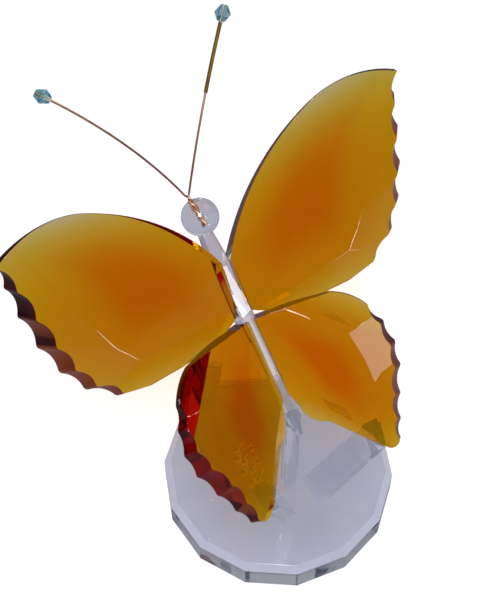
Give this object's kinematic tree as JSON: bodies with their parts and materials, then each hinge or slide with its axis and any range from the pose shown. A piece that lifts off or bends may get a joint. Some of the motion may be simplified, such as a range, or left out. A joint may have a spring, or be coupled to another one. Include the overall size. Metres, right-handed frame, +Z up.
{
  "type": "butterfly ornament",
  "caption": "Cut-glass butterfly ornament with amber wings, a clear body and springy beaded wire antennae, held up on clear props over a faceted round base.",
  "frame": {"origin": "centre of the base's underside", "axes": "+Z up, +Y towards the butterfly's head, X = 0 is the plane between the left and right wings"},
  "size_m": [0.1094, 0.1012, 0.1179],
  "materials": {
    "clear_glass": "polished",
    "amber_glass": "polished",
    "aqua_glass": "polished",
    "copper_wire": "drawn, slightly dull",
    "bronze_winding": "fine winding"
  },
  "bodies": {
    "butterfly": {"base": "clear_glass", "post": "clear_glass", "left_prop": "clear_glass", "right_prop": "clear_glass", "body": "clear_glass", "head": "clear_glass", "left_forewing": "amber_glass", "right_forewing": "amber_glass", "left_hindwing": "amber_glass", "right_hindwing": "amber_glass", "antenna_shank": "copper_wire"},
    "left_antenna": {"left_antenna_wire": "copper_wire", "left_antenna_bead": "aqua_glass"},
    "right_antenna": {"right_antenna_wire": "copper_wire", "right_antenna_bead": "aqua_glass", "right_antenna_sleeve": "bronze_winding"}
  },
  "joints": [
    {"name": "left_antenna_flex", "type": "hinge", "parent": "butterfly", "child": "left_antenna", "pos_m": [-0.0005, 0.04473, 0.08549], "axis": [0.6877, 0.726, 0], "range_deg": [-12, 12], "stiffness_Nm_per_rad": 0.012},
    {"name": "right_antenna_flex", "type": "hinge", "parent": "butterfly", "child": "right_antenna", "pos_m": [0.0005, 0.04473, 0.08549], "axis": [0.6877, -0.726, 0], "range_deg": [-12, 12], "stiffness_Nm_per_rad": 0.012}
  ]
}
